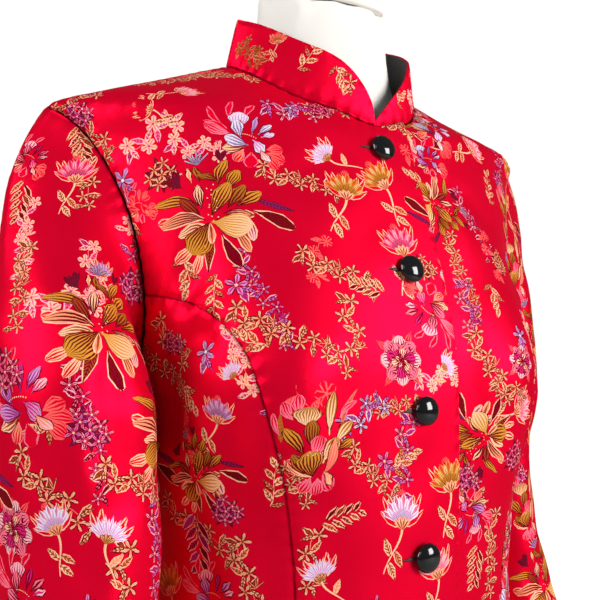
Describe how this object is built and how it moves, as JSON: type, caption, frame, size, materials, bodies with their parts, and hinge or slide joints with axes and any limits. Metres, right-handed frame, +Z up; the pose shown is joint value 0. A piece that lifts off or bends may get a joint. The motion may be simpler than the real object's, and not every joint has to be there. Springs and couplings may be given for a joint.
{
  "type": "tang jacket on dress form",
  "caption": "Women's mandarin-collar brocade jacket with princess seams, full set-in sleeves and domed buttons, worn by a limbless dress form on a round stand.",
  "frame": {"origin": "middle of the underside of the stand's base", "axes": "+Z up, the jacket faces -Y, the wearer's left is +X"},
  "size_m": [0.544, 0.3, 0.9319],
  "materials": {
    "brocade": "scarlet satin brocade",
    "lining": "black lining cloth",
    "button": "polished black",
    "form_shell": "matt off-white shell",
    "stand_metal": "brushed"
  },
  "bodies": {
    "root": {"right_front": "brocade", "left_front": "brocade", "right_side_front": "brocade", "left_side_front": "brocade", "back": "brocade", "right_sleeve": "brocade", "left_sleeve": "brocade", "collar": "brocade", "collar_lining": "lining", "form_torso": "form_shell", "neck_cap": "form_shell", "stand_pole": "stand_metal", "stand_base": "stand_metal", "button_1": "button", "button_2": "button", "button_3": "button", "button_4": "button", "button_5": "button", "button_6": "button"}
  },
  "joints": []
}
